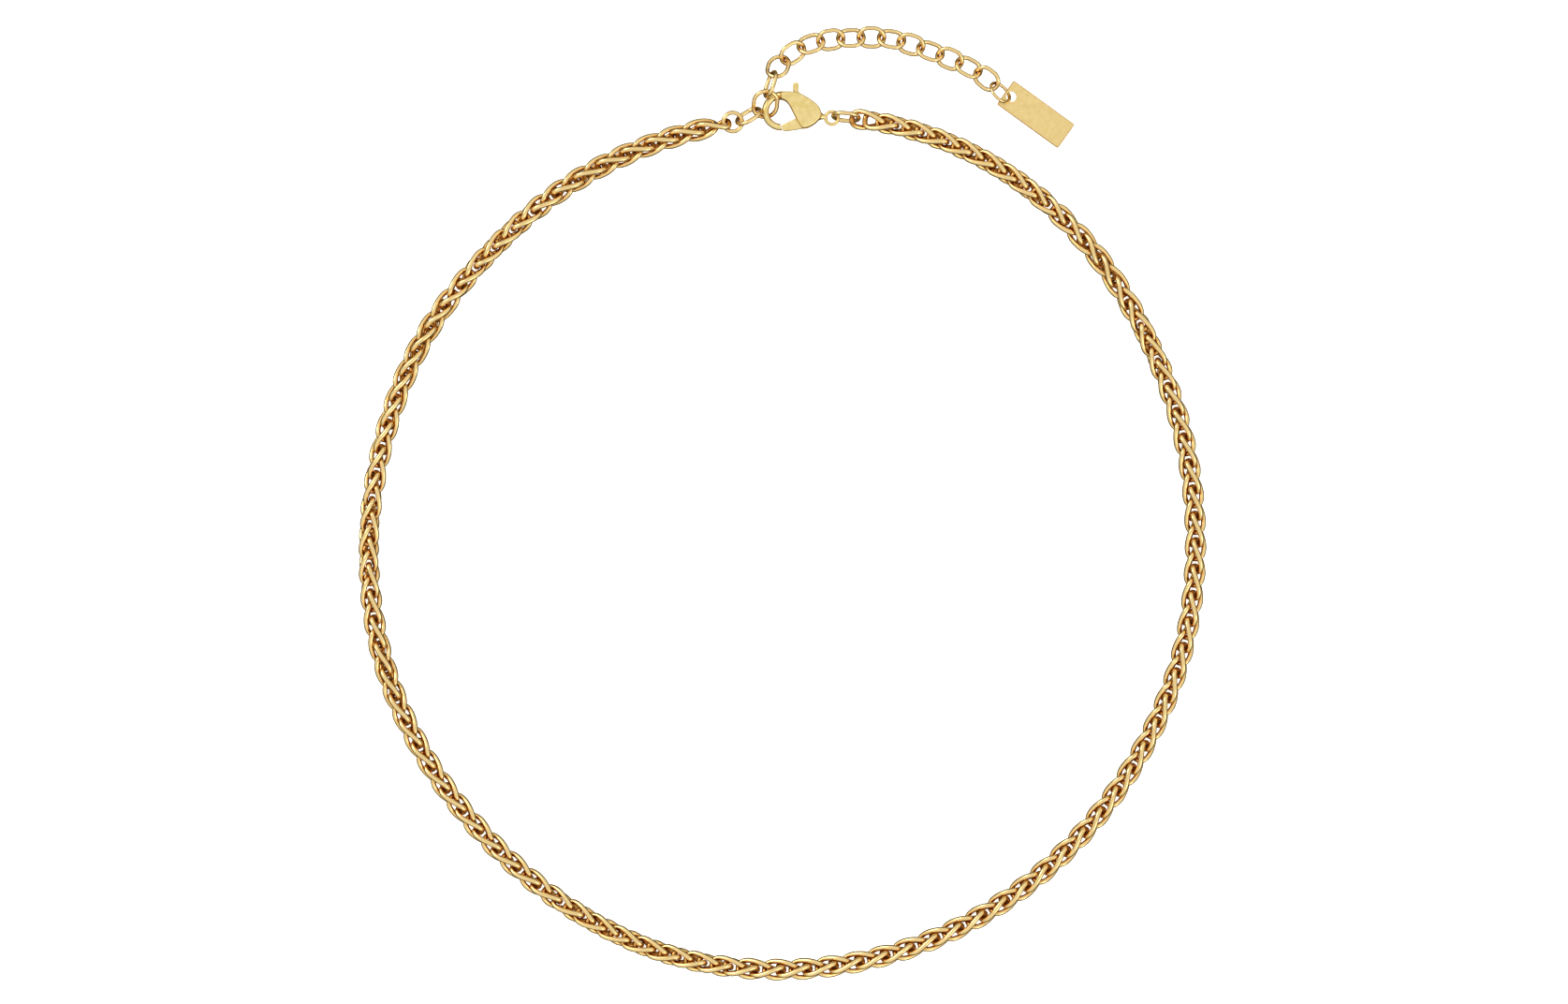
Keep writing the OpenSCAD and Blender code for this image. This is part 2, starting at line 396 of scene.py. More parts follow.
# %% Draw one twisted link
link_pitch = 2.25 * mm
link_wire = 0.9 * mm
link_half_length = 2.77 * mm
link_half_width = 1.46 * mm
link_twist = math.radians(46)
link_fullness = 3.0
link_samples = 720
link_steps = 64
wire_steps = 14


def full(value):
    """A sine or cosine made fuller, which draws a squarer oval."""
    return np.sign(value) * np.abs(value) ** (2 / link_fullness)


def even_spacing(line, count):
    """A closed line again, with its points spaced evenly."""
    closed = np.vstack([line, line[:1]])
    travelled = np.r_[0, np.cumsum(np.linalg.norm(np.diff(closed, axis=0), axis=1))]
    wanted = np.linspace(0, travelled[-1], count, endpoint=False)
    return np.column_stack([np.interp(wanted, travelled, closed[:, axis]) for axis in range(3)])


def twisted_line(hand):
    """The middle line of a link's wire. The hand of its twist is 1 or -1."""
    turn = np.linspace(0, 2 * math.pi, link_samples, endpoint=False)
    along = full(np.cos(turn))
    across = link_half_width * full(np.sin(turn))
    angle = hand * link_twist * along
    x, y, z = link_half_length * along, across * np.cos(angle), across * np.sin(angle)
    return even_spacing(np.column_stack([x, y, z]), link_steps)


def ring_faces(rings, steps, closed=True):
    """Four-sided faces between rings of points. A closed form joins its last ring to its first."""
    i, j = np.meshgrid(np.arange(rings if closed else rings - 1), np.arange(steps), indexing="ij")
    n, k = (i + 1) % rings, (j + 1) % steps
    corners = np.stack([i * steps + j, i * steps + k, n * steps + k, n * steps + j], axis=-1)
    return corners.reshape(-1, 4)


def sweep_wire(line, radius, steps=wire_steps):
    """Points and faces of a round wire along a closed line."""
    tangent = np.roll(line, -1, 0) - np.roll(line, 1, 0)
    tangent /= np.linalg.norm(tangent, axis=1)[:, None]
    out = line - line.mean(0)
    out -= (out * tangent).sum(1)[:, None] * tangent
    out /= np.linalg.norm(out, axis=1)[:, None]
    side = np.cross(tangent, out)
    turn = np.linspace(0, 2 * math.pi, steps, endpoint=False)
    ring = np.cos(turn)[None, :, None] * out[:, None] + np.sin(turn)[None, :, None] * side[:, None]
    points = line[:, None] + np.reshape(radius, (-1, 1, 1)) * ring
    return points.reshape(-1, 3), ring_faces(len(line), steps)


link_shapes = [sweep_wire(twisted_line(hand), link_wire / 2) for hand in (1, -1)]
print("points of a link:", len(link_shapes[0][0]))

# %% [markdown]
# ### How closed in a point is
# From each point of a mesh a fan of short rays goes out, more of them straight up from the
# surface than along it. The share of rays that hit metal is the point's hollow. Blender could
# bake such shade as an image, but a number on the points needs none and stays with the mesh.

# %% Send out a fan of rays
ray_count = 40
ray_lift = 0.01 * mm


def ray_fan():
    """Even directions on the upper half, denser at the top, by the golden angle."""
    i = np.arange(ray_count) + 0.5
    low = np.sqrt(i / ray_count)
    turn = i * math.pi * (3 - math.sqrt(5))
    return np.column_stack([low * np.cos(turn), low * np.sin(turn), np.sqrt(1 - low**2)])


def normals_of(points, faces):
    mesh = bpy.data.meshes.new("measured")
    mesh.from_pydata(points.tolist(), [], faces.tolist())
    normals = np.array([vertex.normal[:] for vertex in mesh.vertices])
    bpy.data.meshes.remove(mesh)
    return normals


def gathered(forms):
    """The points and faces of many forms as one. Each form is its points and its faces."""
    points, faces = [], []
    for form_points, form_faces in forms:
        start = len(points)
        points.extend(np.asarray(form_points).tolist())
        faces.extend([[start + i for i in face] for face in form_faces])
    return points, faces


def solid_of(forms):
    """A search tree over many forms, which tells where a ray meets them."""
    return BVHTree.FromPolygons(*gathered(forms))


def hollows(points, faces, solid, reach):
    """The hollow of every point of a form, among all that is around it."""
    fan = ray_fan()
    shares = []
    for point, normal in zip(points, normals_of(points, faces)):
        up = Vector(normal)
        upright = up.to_track_quat("Z", "Y").to_matrix()
        start = Vector(point) + ray_lift * up
        hits = 0
        for ray in fan:
            hit = solid.ray_cast(start, upright @ Vector(ray), reach)
            hits += hit[0] is not None
        shares.append(hits / ray_count)
    return np.array(shares)


print("rays from each point:", len(ray_fan()))

# %% [markdown]
# A link of the chain always has the same neighbours around it. All 189 could be measured where
# they lie, but that takes minutes. So two links, one of each hand, are measured in a short
# straight stretch, and the result serves for all of them.

# %% Measure the hollows of a link
link_reach = 3 * mm
link_neighbours = 3


def turn_about(axis, turn):
    """The matrix of a turn about the x, y or z axis."""
    i = ("xyz".index(axis) + 1) % 3
    j = (i + 1) % 3
    matrix = np.eye(3)
    matrix[i, i] = matrix[j, j] = math.cos(turn)
    matrix[j, i] = math.sin(turn)
    matrix[i, j] = -math.sin(turn)
    return matrix


def in_turn(points, i):
    """Every second link stands a quarter turn against the one before it."""
    return points @ turn_about("x", (i % 2) * math.pi / 2).T


def link_hollows(hand):
    stretch = []
    for i in range(-link_neighbours, link_neighbours + 1):
        points, faces = link_shapes[(i + hand) % 2]
        stretch.append((in_turn(points, i) + [i * link_pitch, 0, 0], faces))
    return hollows(*link_shapes[hand], solid_of(stretch), link_reach)


# These hollows darken the links' colour with painted shade where they lie in each other.
link_shades = [link_hollows(hand) for hand in (0, 1)]
print("hollow of a link, least and most:", link_shades[0].min(), link_shades[0].max())

# %% [markdown]
# ### The route
# The necklace was laid by hand, so its ring is not a true circle. A table holds the ring's
# radius at every 15 degrees, and a smooth curve runs through it. A curve object could hold the
# route as well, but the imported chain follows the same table, so both stay together. Links are
# set out along it at even steps, clockwise from the clasp.

# %% Follow the route
loop_centre = np.array([0, -7.4]) * mm
route_step = 15
route_radius_mm = [70.5, 70.9, 71.7, 73.2, 74.3, 74.3, 73.2, 72.3, 71.7, 70.9, 70.9, 70.6,
                   70.8, 71.1, 71.0, 71.1, 71.8, 72.5, 72.4, 72.1, 71.6, 71.0, 70.6, 70.6]
first_link_at = 78.7
last_link_at = 99.48
halves_meet_at = -97
axis_height = 1.92 * mm
spare = 4
route_samples = 4000


def route_radius(angle):
    i = math.floor(angle / route_step)
    f = angle / route_step - i
    p0, p1, p2, p3 = [route_radius_mm[(i + k) % len(route_radius_mm)] for k in (-1, 0, 1, 2)]
    bend = 2 * p0 - 5 * p1 + 4 * p2 - p3 + f * (3 * (p1 - p2) + p3 - p0)
    return (p1 + 0.5 * f * (p2 - p0 + f * bend)) * mm


def route_point(angle):
    a = math.radians(angle)
    return loop_centre + route_radius(angle) * np.array([math.cos(a), math.sin(a)])


route_angles = np.linspace(first_link_at + spare, last_link_at - 360 - spare, route_samples)
route_line = np.array([route_point(a) for a in route_angles])
route_way = np.r_[0, np.cumsum(np.linalg.norm(np.diff(route_line, axis=0), axis=1))]
route_ahead = np.gradient(route_line, axis=0)
route_heading = np.unwrap(np.arctan2(route_ahead[:, 1], route_ahead[:, 0]))
route_turned = route_angles[0] - route_angles
way_start = np.interp(spare, route_turned, route_way)
way_end = np.interp(route_turned[-1] - spare, route_turned, route_way)
way_middle = np.interp(route_angles[0] - halves_meet_at, route_turned, route_way)
link_count = 2 * round((way_end - way_start) / link_pitch / 2) + 1
link_ways = np.linspace(way_start, way_end, link_count)
print("links:", link_count, " pitch in mm:", round((link_ways[1] - link_ways[0]) / mm, 4))

# %% [markdown]
# ### How the chain rolls
# Seen along the ring, the chain slowly rolls about its own line, as every laid chain does: here
# it shows its arrow side, there its open side. The table gives the roll, in degrees, at marks
# along the chain. Blender's Curve modifier could bend a straight chain along the ring. Here each
# point of a link is carried to its own distance along the route and rolled by the roll there,
# so the whole chain bends and twists as one, and its links keep clear of each other.

# %% Lay the links along the route
roll_marks = [
    # share of the length, roll in degrees
    (0.0, 42), (0.03, 44), (0.07, 54), (0.09, 72), (0.115, 96), (0.135, 120), (0.155, 150),
    (0.175, 163), (0.5, 166), (0.53, 150), (0.56, 137), (0.575, 137), (0.605, 162), (0.695, 169),
    (0.717, 188), (0.742, 210), (0.762, 226), (0.787, 248), (0.84, 270), (0.862, 280),
    (0.88, 304), (0.895, 314), (0.91, 312), (0.93, 290), (0.95, 272), (0.99, 266), (1.0, 266),
]


def roll_at(way):
    """The chain's roll at a distance along the route."""
    marks, rolls = zip(*roll_marks)
    share = (way - way_start) / (way_end - way_start)
    return np.radians(np.interp(share, marks, rolls))


def carried(points, way):
    """Points of a straight chain, carried along the route and rolled with it."""
    at = way + points[:, 0]
    roll = roll_at(at)
    across = points[:, 1] * np.cos(roll) - points[:, 2] * np.sin(roll)
    height = points[:, 1] * np.sin(roll) + points[:, 2] * np.cos(roll)
    heading = np.interp(at, route_way, route_heading)
    x = np.interp(at, route_way, route_line[:, 0]) - across * np.sin(heading)
    y = np.interp(at, route_way, route_line[:, 1]) + across * np.cos(heading)
    return np.column_stack([x, y, axis_height + height])


def set_painted_shade(mesh, shades):
    mesh.attributes.new("hollow", "FLOAT", "POINT").data.foreach_set("value", shades)


def polished_piece(name, points, faces, shades):
    """A smooth piece of bent wire, with the hollow of each of its points."""
    mesh = bpy.data.meshes.new(name)
    mesh.from_pydata(points.tolist(), [], [list(face) for face in faces])
    mesh.polygons.foreach_set("use_smooth", [True] * len(mesh.polygons))
    mesh.materials.append(chain_gold)
    set_painted_shade(mesh, shades)
    return add_object(name, mesh)


def lay_links(name, chosen, node):
    points, faces, shades = [], [], []
    for i in chosen:
        shape, corners = link_shapes[i % 2]
        faces.append(corners + len(points) * len(shape))
        points.append(carried(in_turn(shape, i), link_ways[i]))
        shades.append(link_shades[i % 2])
    piece = polished_piece(name, np.vstack(points), np.vstack(faces), np.hstack(shades))
    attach(piece, "necklace")
    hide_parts(node)
    print(name, "links:", len(points), " triangles:", 2 * len(piece.data.polygons))


inner = range(1, link_count - 1)
lay_links("wheat_links_right", [i for i in inner if link_ways[i] < way_middle], "wheat_chain_right")
lay_links("wheat_links_left", [i for i in inner if link_ways[i] >= way_middle], "wheat_chain_left")
lay_links("first_link", [0], "chain_first_link")
lay_links("last_link", [link_count - 1], "chain_last_link")

# %% [markdown]
# ## The rings and the extender
# The rings by the clasp and the links of the extender are bent from round wire, and each
# was closed with a seam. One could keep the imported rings. They are drawn anew for the seam,
# a fine notch around the wire, and for the hollows where one ring lies in the next. Their wire
# is also 0.04 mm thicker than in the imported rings, which need a gap between them.

# %% Bend a ring
ring_wire = 0.74 * mm
ring_steps = 88
ring_wire_steps = 16
seam_half = 0.05
seam_clear = 2.2 * seam_half
seam_depth = 0.12


def stadium_point(distance, half_length, half_width):
    """A point of an oval with two round ends and two straight sides, from its side's middle."""
    side = half_length - half_width
    around = math.pi * half_width
    if distance < side:
        return distance, half_width
    distance -= side
    if distance < around:
        turn = math.pi / 2 - distance / half_width
        return side + half_width * math.cos(turn), half_width * math.sin(turn)
    distance -= around
    if distance < 2 * side:
        return side - distance, -half_width
    distance -= 2 * side
    if distance < around:
        turn = -math.pi / 2 - distance / half_width
        return -side + half_width * math.cos(turn), half_width * math.sin(turn)
    return distance - around - side, half_width


def ring_line(half_length, half_width, seam_at):
    """The middle line of a ring in mm, and how full its wire is at each point."""
    length = 4 * (half_length - half_width) + 2 * math.pi * half_width
    even = np.arange(ring_steps) * length / ring_steps
    seam = seam_at * length
    even = even[np.abs(even - seam) > seam_clear]
    notch = seam + seam_half * np.array([-2, -1, 0, 1, 2])
    at = np.sort(np.r_[even, notch])
    depth = np.clip(1 - np.abs(at - seam) / seam_half, 0, 1)
    line = [(*stadium_point(distance, half_length, half_width), 0) for distance in at]
    return np.array(line), 1 - seam_depth * depth


def ring_turn(heading, pitch, lean):
    heading, pitch, lean = [math.radians(a) for a in (heading, pitch, lean)]
    return turn_about("z", heading) @ turn_about("y", -pitch) @ turn_about("x", lean)


def bend_ring(place, half_length, half_width, wire, seam_at):
    line, fullness = ring_line(half_length, half_width, seam_at)
    line = (line @ ring_turn(*place[3:]).T + place[:3]) * mm
    return sweep_wire(line, wire / 2 * fullness, ring_wire_steps)


print("ring wire in mm:", round(ring_wire / mm, 2))

# %% [markdown]
# The rings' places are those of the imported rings: x, y and z of the centre in millimetres, then
# heading, pitch and lean in degrees. The half length and half width follow, and the wire. The
# lying links of the extender need less: each heads from the one before it to the one after it,
# leans to one side or the other, and touches the table.

# %% List the rings
oval = (2.2, 1.8)
rings = {
    "catch_ring": ([-3.02, 68.04, 2.09, 84.5, 35.7, 9], 2.54, 2, ring_wire),
    "joining_link": ([-5.89, 65.99, 1.96, 31, -3.7, 120], *oval, ring_wire),
    "end_ring": ([-8.61, 65, 1.88, 0, 0, 5], 1.6, 1.6, ring_wire),
    "clasp_link": ([10.75, 65.85, 2.1, -6, 0, 74], *oval, ring_wire),
    "extender_link_01": ([-2.15, 71.36, 3.01, 71.8, -0.6, 108.7], *oval, ring_wire),
    "extender_link_02": ([-0.85, 74.45, 2.07, 74.5, -30.7, -21], *oval, ring_wire),
    "tag_ring": ([37.12, 70.05, 1.96, -62.4, 20.4, -51.2], 2, 2, 0.56 * mm),
}
extender = [
    # x and y of the centre, then lean
    (1.65, 76.8, 40), (4.76, 78.4, -36), (8.15, 79.1, 36), (11.6, 79.4, -36), (15.1, 79.5, 36),
    (18.55, 79.2, -36), (21.85, 78.3, 36), (25.2, 77.15, -36), (28.5, 75.85, 36),
    (31.75, 74.4, -36), (34.8, 72.47, 36),
]
first_lying_link = 3
floor_gap = 0.02


def add_extender_links():
    before = rings["extender_link_02"][0]
    for i, (x, y, lean) in enumerate(extender):
        after = extender[i + 1] if i + 1 < len(extender) else rings["tag_ring"][0]
        heading = math.degrees(math.atan2(after[1] - before[1], after[0] - before[0]))
        z = oval[1] * abs(math.sin(math.radians(lean))) + ring_wire / mm / 2 + floor_gap
        name = f"extender_link_{i + first_lying_link:02d}"
        rings[name] = ([x, y, z, heading, 0, lean], *oval, ring_wire)
        before = extender[i]


add_extender_links()
print("rings to bend:", len(rings))

# %% [markdown]
# ## The lobster clasp
# The body is one casting: a thick teardrop that runs out into the hook on one side and the eye
# on the other. It could be cut from a block with bevels, but a casting has soft joints where its
# limbs meet. So the limbs are made as separate closed forms, and melted into one skin.
# The clasp is drawn in millimetres around the middle of its hook, and shrunk to metres at the
# end. Its teardrop is an outline in layers: flat, with rounded edges and a low crown.

# %% Shape the teardrop
body_half = 1.4
body_edge = 0.34
body_crown = 0.05
body_middle = (4.0, 0.5)
body_outline = [
    (0.2, 3.33), (1.0, 3.36), (1.8, 3.33), (2.95, 3.15), (4.25, 2.5), (5.3, 1.82), (6.15, 1.12),
    (6.68, 0.4), (6.86, -0.25), (6.72, -1.1), (5.85, -2.05), (4.85, -2.68), (4.1, -2.9),
    (3.55, -2.82), (3.1, -2.15), (2.35, -0.8), (1.95, 0.0), (1.5, 0.85), (1.05, 1.5), (0.6, 1.86),
    (0.15, 2.05), (-0.08, 2.4), (-0.05, 3.0),
]
curve_steps = 8
crown_rim = 0.35
crown_drop = 0.3


def smooth_outline(corners):
    """A closed smooth curve through the corners."""
    p = np.array(corners, float)
    p0, p2, p3 = np.roll(p, 1, 0), np.roll(p, -1, 0), np.roll(p, -2, 0)
    curve = []
    for f in np.arange(curve_steps) / curve_steps:
        bend = 2 * p0 - 5 * p + 4 * p2 - p3 + f * (3 * (p - p2) + p3 - p0)
        curve.append(p + 0.5 * f * (p2 - p0 + f * bend))
    return np.stack(curve, axis=1).reshape(-1, 2)


def inset(outline, amount):
    """The outline moved inwards. It runs clockwise, so inwards is to its right."""
    along = np.roll(outline, -1, 0) - np.roll(outline, 1, 0)
    along /= np.linalg.norm(along, axis=1)[:, None]
    return outline + amount * np.column_stack([along[:, 1], -along[:, 0]])


def teardrop_form():
    """Layers of the outline, lowest first, and a crown of two rings of faces on each side."""
    outline = smooth_outline(body_outline)
    half = body_half - body_crown
    profile = []
    for turn in np.radians([0, 22, 45, 68, 90]):
        share = body_edge * (1 - math.cos(turn))
        profile.append((share, half - body_edge * (1 - math.sin(turn))))
    levels = [(share, -z) for share, z in reversed(profile)] + profile
    layers = []
    for share, z in levels:
        layers.append(np.column_stack([inset(outline, share), np.full(len(outline), z)]))
    steps = len(outline)
    faces = [list(face) for face in ring_faces(len(layers), steps, closed=False)]
    points = np.vstack(layers)
    for layer, z in ((0, -half - body_crown), (len(layers) - 1, half + body_crown)):
        top = len(points)
        rim = layers[layer]
        sunk = rim + crown_rim * (np.array([*body_middle, z]) - rim)
        sunk[:, 2] = z - crown_drop * (z - rim[:, 2])
        points = np.vstack([points, sunk, [[*body_middle, z]]])
        for j in range(steps):
            k = (j + 1) % steps
            faces.append([layer * steps + j, layer * steps + k, top + k, top + j])
            faces.append([top + j, top + k, top + steps])
    return points, faces


teardrop = teardrop_form()
print("faces of the teardrop:", len(teardrop[1]))

# %% [markdown]
# ### The hook
# The hook is an arc of wire, as deep as the body at its root and slim at its tip. A curve with
# a bevel would be round all along. So tables give its half width and half depth by angle, and
# every ring of its skin is an ellipse of that size. The tip is cut along a circle around the
# rivet, so that the gate swings past it with a gap.

# %% Shape the hook
pivot = (4.35, -1.35)
gate_reach = 4.45
gate_gap = 0.1
hook_start = math.radians(58)
hook_middle = 2.7
hook_tip_half = 0.58
hook_width_by_angle = ([0, 60, 90, 125, 300], [0.78, 0.8, 0.76, 0.6, 0.58])
hook_depth_by_angle = (
    [0, 58, 75, 95, 110, 130, 300],
    [1.25, 1.25, 1.15, 0.95, 0.74, 0.6, 0.58],
)
hook_rings = 72
limb_steps = 20


def gate_circle_angle(reach):
    """Where a circle around the hook's middle meets the circle on which the tip is cut."""
    away = math.hypot(*pivot)
    cut_at = gate_reach + gate_gap
    share = (reach**2 + away**2 - cut_at**2) / (2 * reach * away)
    return 2 * math.pi + math.atan2(pivot[1], pivot[0]) - math.acos(share)


def hook_point(share, turn):
    """A point of the skin: share goes along the hook, and turn goes around it."""
    end = gate_circle_angle(hook_middle + hook_tip_half * math.cos(turn))
    angle = hook_start + share * (end - hook_start)
    width = float(np.interp(math.degrees(angle), *hook_width_by_angle))
    depth = float(np.interp(math.degrees(angle), *hook_depth_by_angle))
    reach = hook_middle + width * math.cos(turn)
    return reach * math.cos(angle), reach * math.sin(angle), depth * math.sin(turn)


def limb_faces(count):
    """The skin of a limb made of rings of points, with a face on each end."""
    faces = [list(face) for face in ring_faces(count, limb_steps, closed=False)]
    last = (count - 1) * limb_steps
    return faces + [list(range(limb_steps)), list(range(last, last + limb_steps))]


def around_limb():
    return np.linspace(0, 2 * math.pi, limb_steps, endpoint=False)


def hook_form():
    along = np.linspace(0, 1, hook_rings)
    points = [hook_point(share, turn) for share in along for turn in around_limb()]
    return points, limb_faces(hook_rings)


hook = hook_form()
print("faces of the hook:", len(hook[1]))

# %% [markdown]
# ### The eye and its neck
# The eye is a ring of thin wire, swept as the links are. The body narrows to it in a short
# neck. A cone would meet both at a sharp angle, so the neck is drawn as a few rings of points
# on a bowed line, a little flatter than round.

# %% Shape the neck and the eye
neck_rings = [
    # x, y and half width
    (6.1, -0.62, 0.95), (6.6, -0.7, 0.82), (7.0, -0.82, 0.56), (7.35, -0.94, 0.4), (7.6, -1.0, 0.3),
]
neck_flatness = 0.9
eye_at = (8.7, -1.12)
eye_radius = 1.1
eye_wire_half = 0.29
eye_steps = 64


def neck_form():
    points = []
    for x, y, half in neck_rings:
        for turn in around_limb():
            side = half * math.cos(turn)
            points.append((x, y + side, neck_flatness * half * math.sin(turn)))
    return points, limb_faces(len(neck_rings))


def eye_form():
    turn = np.linspace(0, 2 * math.pi, eye_steps, endpoint=False)
    x = eye_at[0] + eye_radius * np.cos(turn)
    y = eye_at[1] + eye_radius * np.sin(turn)
    points, faces = sweep_wire(np.column_stack([x, y, 0 * turn]), eye_wire_half, limb_steps)
    return points, [list(face) for face in faces]


neck, eye = neck_form(), eye_form()
print("faces of the neck and the eye:", len(neck[1]), len(eye[1]))

# %% [markdown]
# ### One skin
# The limbs could be joined by booleans, but those leave sharp seams that no casting has. A
# voxel remesh melts them together instead, and a little smoothing settles the skin, as tumbling
# does after the mould.

# %% Melt the limbs into one casting
casting_grain = 0.075


def outward_mesh(name, points, faces):
    """A mesh whose faces all look outwards, as a remesh and a boolean need."""
    mesh = bpy.data.meshes.new(name)
    mesh.from_pydata([tuple(p) for p in points], [], faces)
    work = bmesh.new()
    work.from_mesh(mesh)
    bmesh.ops.recalc_face_normals(work, faces=work.faces)
    work.to_mesh(mesh)
    work.free()
    return mesh


def settle_modifiers(piece):
    """Turns what the modifiers show into the piece's own mesh."""
    graph = bpy.context.evaluated_depsgraph_get()
    made = bpy.data.meshes.new_from_object(piece.evaluated_get(graph))
    old = piece.data
    piece.modifiers.clear()
    piece.data = made
    made.name = old.name
    bpy.data.meshes.remove(old)


def melt(name, forms):
    """One closed skin around all the forms."""
    piece = add_object(name, outward_mesh(name, *gathered(forms)))
    skin = piece.modifiers.new("skin", "REMESH")
    skin.mode = "VOXEL"
    skin.voxel_size = casting_grain
    skin.use_smooth_shade = True
    settle = piece.modifiers.new("settle", "SMOOTH")
    settle.factor = 0.5
    settle.iterations = 4
    settle_modifiers(piece)
    return piece


clasp = melt("clasp_casting", [teardrop, hook, neck, eye])
print("casting faces:", len(clasp.data.polygons))

# %% [markdown]
# ### The slot and the rivet's hole
# The slot of the lever goes right through the body, from the mouth to the nub, and the rivet
# sits in a drilled hole. Both could be modelled into the outline, but in the real clasp they
# are cut after casting, and have sharp rims. So booleans cut them here too.

# %% Cut the slot and drill the hole
slot_half = 0.65
slot_x = (2.0, 5.55)
slot_reach = 5
rivet_hole = 0.405
drill_reach = 3


def block(low, high):
    """A box from its low corner to its high corner, as a cutter."""
    xs, ys, zs = zip(low, high)
    points = [(x, y, z) for x in xs for y in ys for z in zs]
    faces = [[0, 1, 3, 2], [4, 6, 7, 5], [0, 4, 5, 1], [2, 3, 7, 6], [0, 2, 6, 4], [1, 5, 7, 3]]
    return points, faces


def rod(centre, radius, half, steps=48):
    """A round rod, upright, as a drill."""
    points = []
    for z in (-half, half):
        for turn in np.linspace(0, 2 * math.pi, steps, endpoint=False):
            x = centre[0] + radius * math.cos(turn)
            y = centre[1] + radius * math.sin(turn)
            points.append((x, y, z))
    faces = [list(face) for face in ring_faces(2, steps, closed=False)]
    faces += [list(range(steps))[::-1], list(range(steps, 2 * steps))]
    return points, faces


def cut(piece, form):
    """Cuts a form out of a piece with a boolean."""
    cutter = add_object("cutter", outward_mesh("cutter", *form))
    change = piece.modifiers.new("cut", "BOOLEAN")
    change.operation = "DIFFERENCE"
    change.solver = "EXACT"
    change.object = cutter
    settle_modifiers(piece)
    bpy.data.objects.remove(cutter)


cut(clasp, block((slot_x[0], -slot_reach, -slot_half), (slot_x[1], slot_reach, slot_half)))
cut(clasp, rod(pivot, rivet_hole, drill_reach))
print("faces after the cuts:", len(clasp.data.polygons))

# %% [markdown]
# ### The finish of the casting
# The flat faces are brushed clean. The flanks get painted shade: their hollow number rises as they
# turn away from straight up, so their colour darkens towards brown. They could get a material of
# their own, but a number that rises with the slope has no edge.

# %% Finish the casting
clasp_place = Vector((-0.33, 66.83, 1.59))
flank_from = 0.8
flank_painted_shade = 0.62
clasp_sharp_from = 38


# Painted shade: the more a surface turns away from straight up, the browner its colour.
def shade_flanks(mesh):
    up = np.abs([vertex.normal.z for vertex in mesh.vertices])
    set_painted_shade(mesh, flank_painted_shade * np.clip((flank_from - up) / flank_from, 0, 1))


def finish_metal(piece, placement, sharp_from, material):
    """Moves a piece from its own millimetres to the frame, and gives it its finish."""
    mesh = piece.data
    mesh.transform(placement)
    mesh.polygons.foreach_set("use_smooth", [True] * len(mesh.polygons))
    mesh.set_sharp_from_angle(angle=math.radians(sharp_from))
    mesh.materials.clear()
    mesh.materials.append(material)


shade_flanks(clasp.data)
clasp_placement = Matrix.Scale(mm, 4) @ Matrix.Translation(clasp_place)
finish_metal(clasp, clasp_placement, clasp_sharp_from, cast_gold)
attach(clasp, "necklace")
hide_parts("clasp_body")
print("finished:", clasp.name)

# %% [markdown]
# ### The lever
# The lever is stamped from a strip: a gate that shuts the mouth, an arm through the slot and a
# small nub for the thumb. It could be melted like the body, but a stamped piece is flat and
# crisp. So its outline is extruded, its edges are broken by a bevel, and the hole for the rivet
# is drilled. It turns with its own body, so it is a piece of its own.

# %% Stamp the lever
lever_half = 0.55
lever_edge = 0.1
lever_hole = 0.46


def on_gate_circle(degrees):
    turn = math.radians(degrees)
    return pivot[0] + gate_reach * math.cos(turn), pivot[1] + gate_reach * math.sin(turn)


gate_end = [on_gate_circle(degrees) for degrees in (193.5, 196.5, 200, 203.5, 207)]
lever_outline = gate_end + [
    (1.3, -3.32), (2.2, -3.2), (3.45, -3.0), (4.3, -2.6), (4.85, -2.2), (5.12, -1.8), (5.2, -1.3),
    (5.12, -0.8), (4.9, -0.3), (4.3, 0.85), (3.55, 2.2), (3.1, 3.1), (3.0, 3.6), (3.03, 4.5),
    (2.95, 4.78), (2.72, 4.9), (2.3, 4.9), (2.08, 4.78), (2.0, 4.5), (2.0, 3.7), (2.08, 3.52),
    (2.32, 3.4), (2.4, 2.8), (2.45, 2.2), (3.0, 0.6), (3.5, -0.9), (2.9, -1.08), (2.3, -1.3),
    (1.1, -1.85),
]


def stamp(name, outline, half, edge):
    """An outline extruded to a plate with broken edges."""
    work = bmesh.new()
    corners = [work.verts.new((x, y, -half)) for x, y in outline]
    face = work.faces.new(corners)
    grown = bmesh.ops.extrude_face_region(work, geom=[face])
    moved = [v for v in grown["geom"] if isinstance(v, bmesh.types.BMVert)]
    bmesh.ops.translate(work, vec=(0, 0, 2 * half), verts=moved)
    bmesh.ops.recalc_face_normals(work, faces=work.faces)
    rims = [e for e in work.edges if abs(e.verts[0].co.z - e.verts[1].co.z) < 1e-6]
    bmesh.ops.bevel(work, geom=rims, offset=edge, segments=3, profile=0.6, affect="EDGES")
    mesh = bpy.data.meshes.new(name)
    work.to_mesh(mesh)
    work.free()
    return add_object(name, mesh)


lever = stamp("lever_stamping", lever_outline, lever_half, lever_edge)
cut(lever, rod(pivot, lever_hole, drill_reach))
# The lever's flanks get the same painted shade.
shade_flanks(lever.data)
finish_metal(lever, clasp_placement, clasp_sharp_from, cast_gold)
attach(lever, "lever")
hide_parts("clasp_lever")
print("lever faces:", len(lever.data.polygons))

# %% [markdown]
# ## Rings in their places
# Now that the clasp is there, each ring can be measured against the other rings, the clasp and
# the lever, and gets its hollows. The seams sit in four different places in turn, as nobody lines
# them up.

# %% Bend the rings and shade their hollows
ring_reach = 2 * mm
first_seam = 0.06
seam_shift = 0.11


